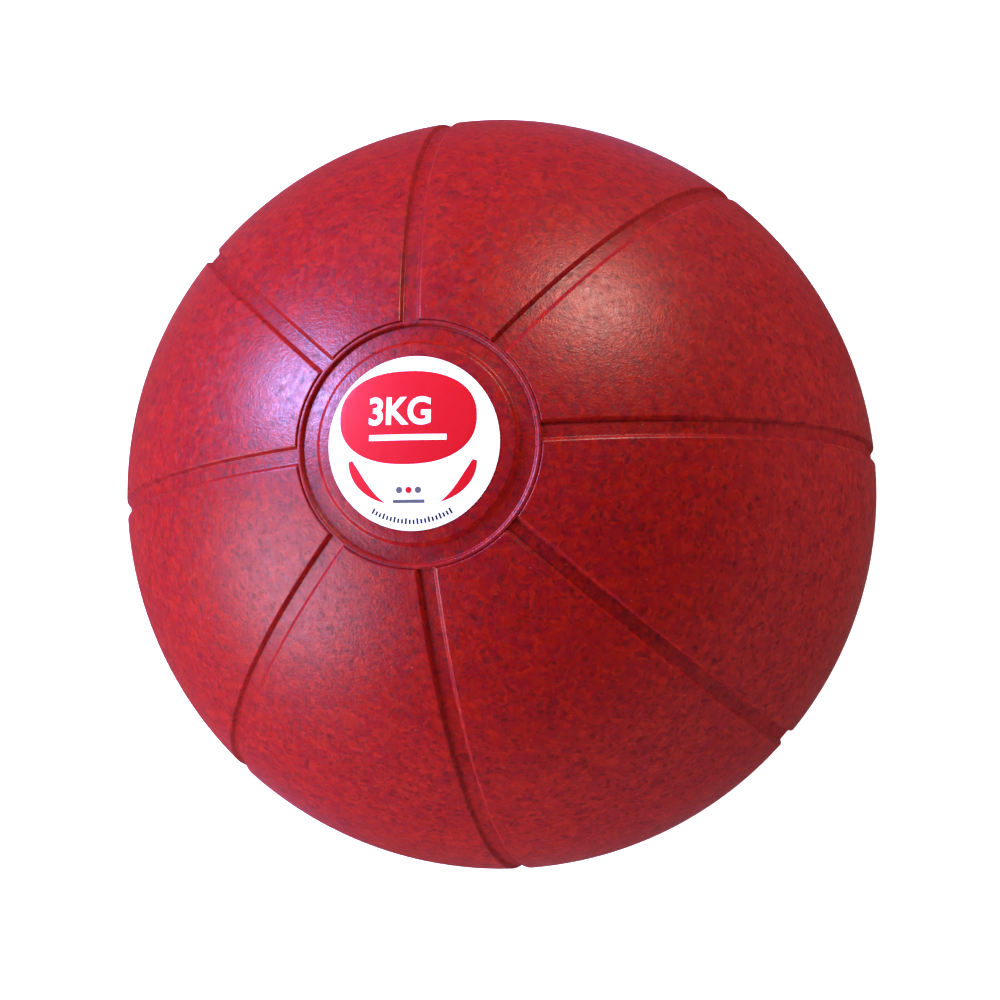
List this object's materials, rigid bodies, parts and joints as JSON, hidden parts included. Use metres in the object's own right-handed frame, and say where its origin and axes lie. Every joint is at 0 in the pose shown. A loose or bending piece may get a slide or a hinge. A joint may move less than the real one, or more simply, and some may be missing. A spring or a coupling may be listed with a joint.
{
  "type": "medicine ball",
  "caption": "Moulded rubber medicine ball with grooves running between two round medallions, one carrying a label and the other a needle valve.",
  "frame": {"origin": "centre of the ball", "axes": "+Z from the centre out through the middle of the label medallion, the valve on -Z; +Y towards the top of the label's figure; +X to the label's right"},
  "size_m": [0.24, 0.24, 0.2394],
  "materials": {
    "cover": "satin",
    "carcass": "matte",
    "winding": "matte",
    "bladder": "matte",
    "valve": "matte",
    "valve_plug": "matte",
    "label": "satin"
  },
  "bodies": {
    "root": {"cover_front_half": "cover", "cover_rear_half": "cover", "carcass_front_half": "carcass", "carcass_rear_half": "carcass", "winding_layer": "winding", "bladder": "bladder", "valve_boot": "valve", "valve_core": "valve_plug", "label": "label"}
  },
  "joints": []
}
